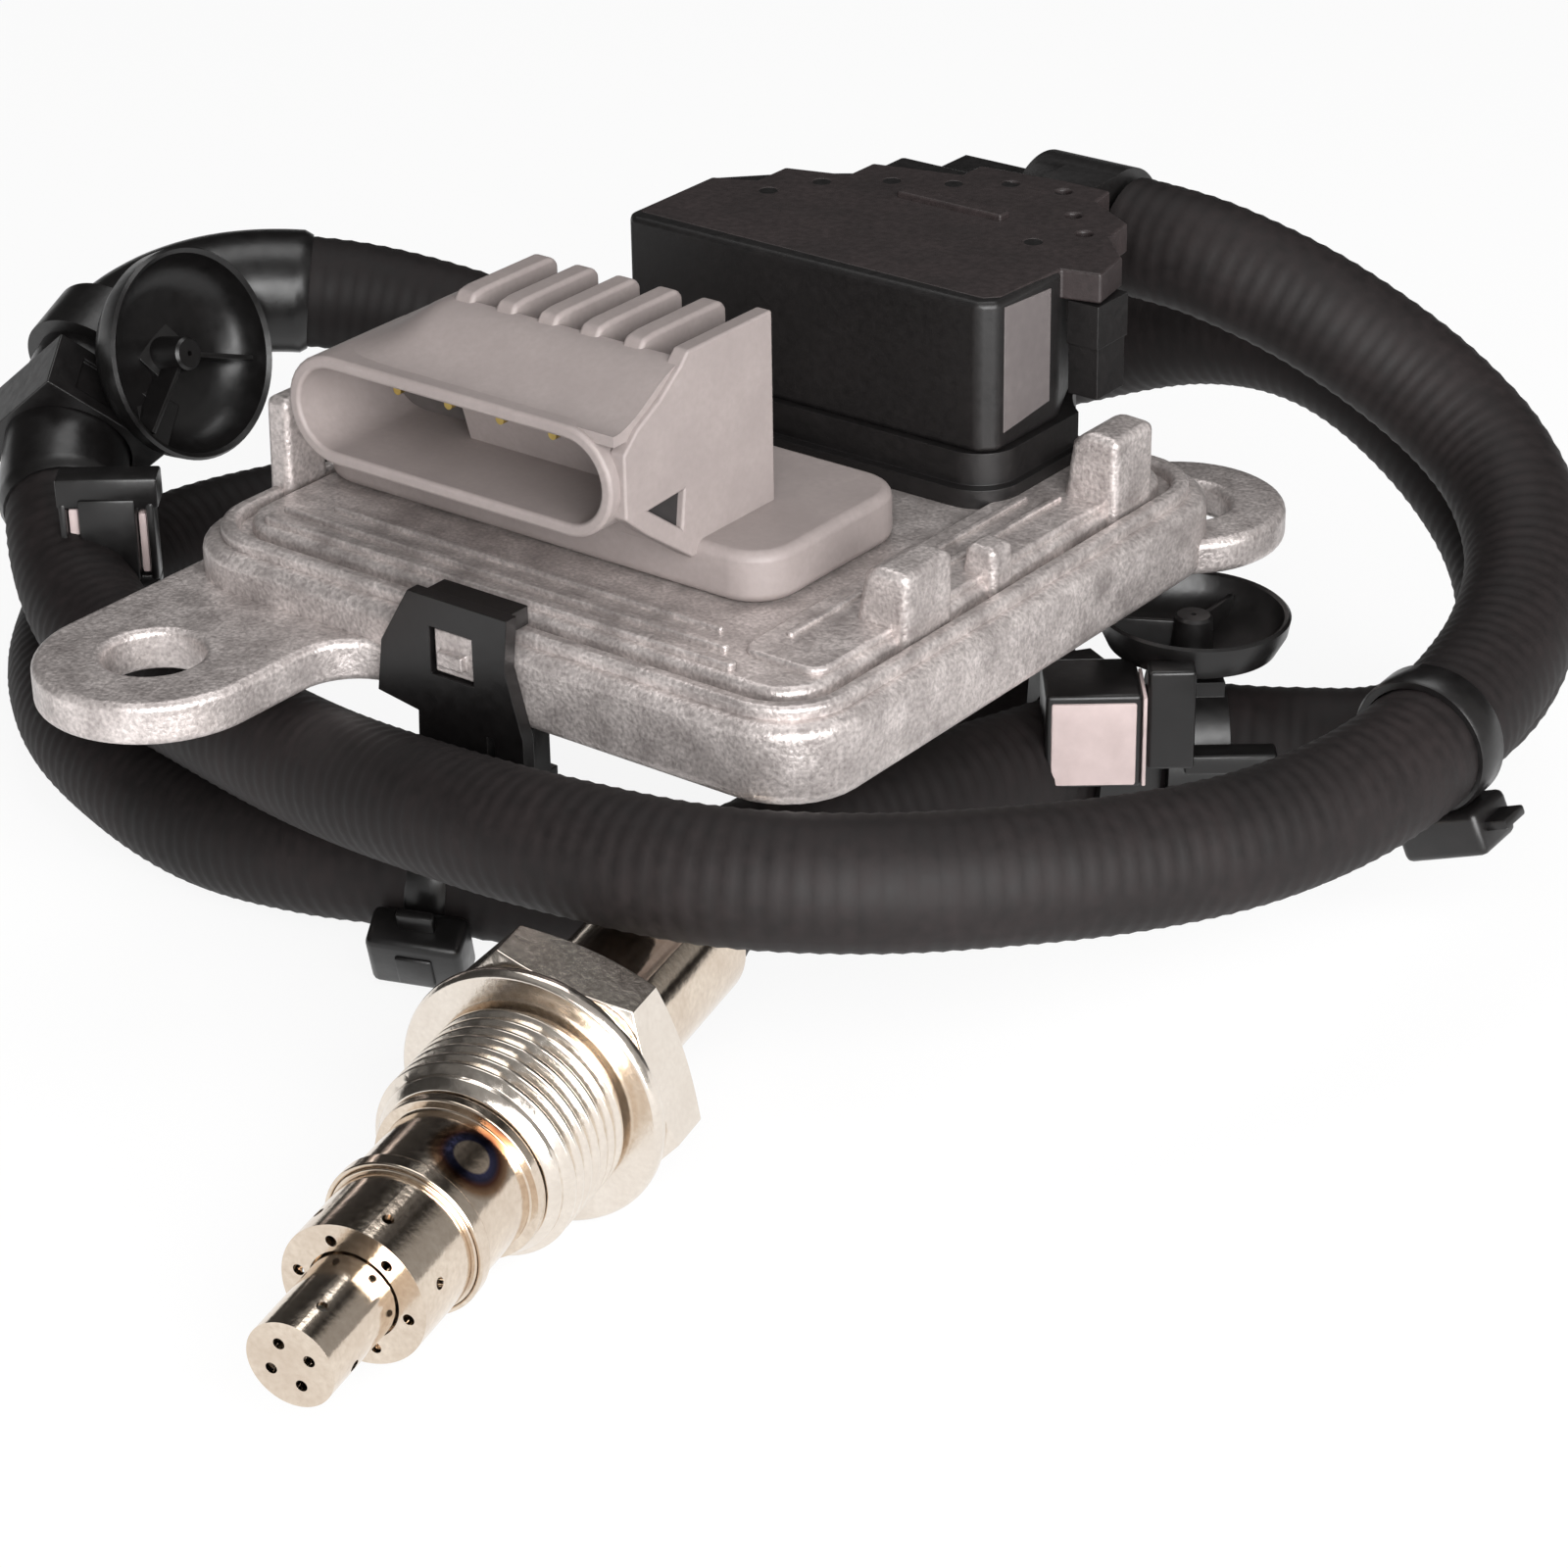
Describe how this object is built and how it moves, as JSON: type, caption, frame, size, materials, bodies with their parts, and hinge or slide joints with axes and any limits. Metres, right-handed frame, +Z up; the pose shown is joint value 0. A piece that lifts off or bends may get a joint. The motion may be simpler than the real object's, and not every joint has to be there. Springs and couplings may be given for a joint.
{
  "type": "nitrogen oxide sensor",
  "caption": "Screw-in exhaust gas probe on a ribbed conduit that runs from a flat cast electronics housing with a male header and a plugged cable connector.",
  "frame": {"origin": "on the floor under the centre of the housing's and the probe's common box, without the conduit and what is clipped on it", "axes": "+Y from the probe's tip towards the cable outlet, +X to the right along the housing's front edge, +Z up"},
  "size_m": [0.1802, 0.1911, 0.0653],
  "materials": {
    "cast_aluminium": "as cast, satin",
    "grey_plastic": "satin",
    "black_plastic": "satin",
    "brown_black_plastic": "satin",
    "clip_plastic": "semi-gloss",
    "conduit_plastic": "satin, finely ribbed",
    "bright_steel": "turned, bright",
    "warm_steel": "polished, slightly straw coloured",
    "contact": "plated",
    "board": "gloss",
    "chips": "matt",
    "ceramic": "unglazed ceramic"
  },
  "bodies": {
    "sensor": {"housing_casting": "cast_aluminium", "base_plate": "cast_aluminium", "circuit_board": "board", "board_parts": "chips", "header_shroud": "grey_plastic", "header_pins": "contact", "connector_skirt": "black_plastic", "connector_body": "black_plastic", "connector_cover": "brown_black_plastic", "connector_side_block": "black_plastic", "cable_outlet": "black_plastic", "locking_bar": "brown_black_plastic", "retaining_clip": "black_plastic", "clip_catch": "bright_steel", "conduit": "conduit_plastic", "tie_right": "clip_plastic", "tie_left": "clip_plastic", "left_collar": "clip_plastic", "left_stud": "clip_plastic", "left_holder": "clip_plastic", "right_collar": "clip_plastic", "right_stud": "clip_plastic", "right_holder": "clip_plastic", "sensor_body": "bright_steel", "weld_ring": "bright_steel", "outer_protection_tube": "warm_steel", "inner_protection_tube": "warm_steel", "ceramic_element": "ceramic", "ceramic_bush": "ceramic", "rear_sleeve": "warm_steel", "rear_grommet": "conduit_plastic"},
    "fitting": {"screw_fitting": "bright_steel", "seal_washer": "bright_steel"}
  },
  "joints": [
    {"name": "fitting_spin", "type": "hinge", "parent": "sensor", "child": "fitting", "pos_m": [0.02937, -0.043, 0.0133], "axis": [0.2051, -0.9774, -0.0506], "continuous": true}
  ]
}
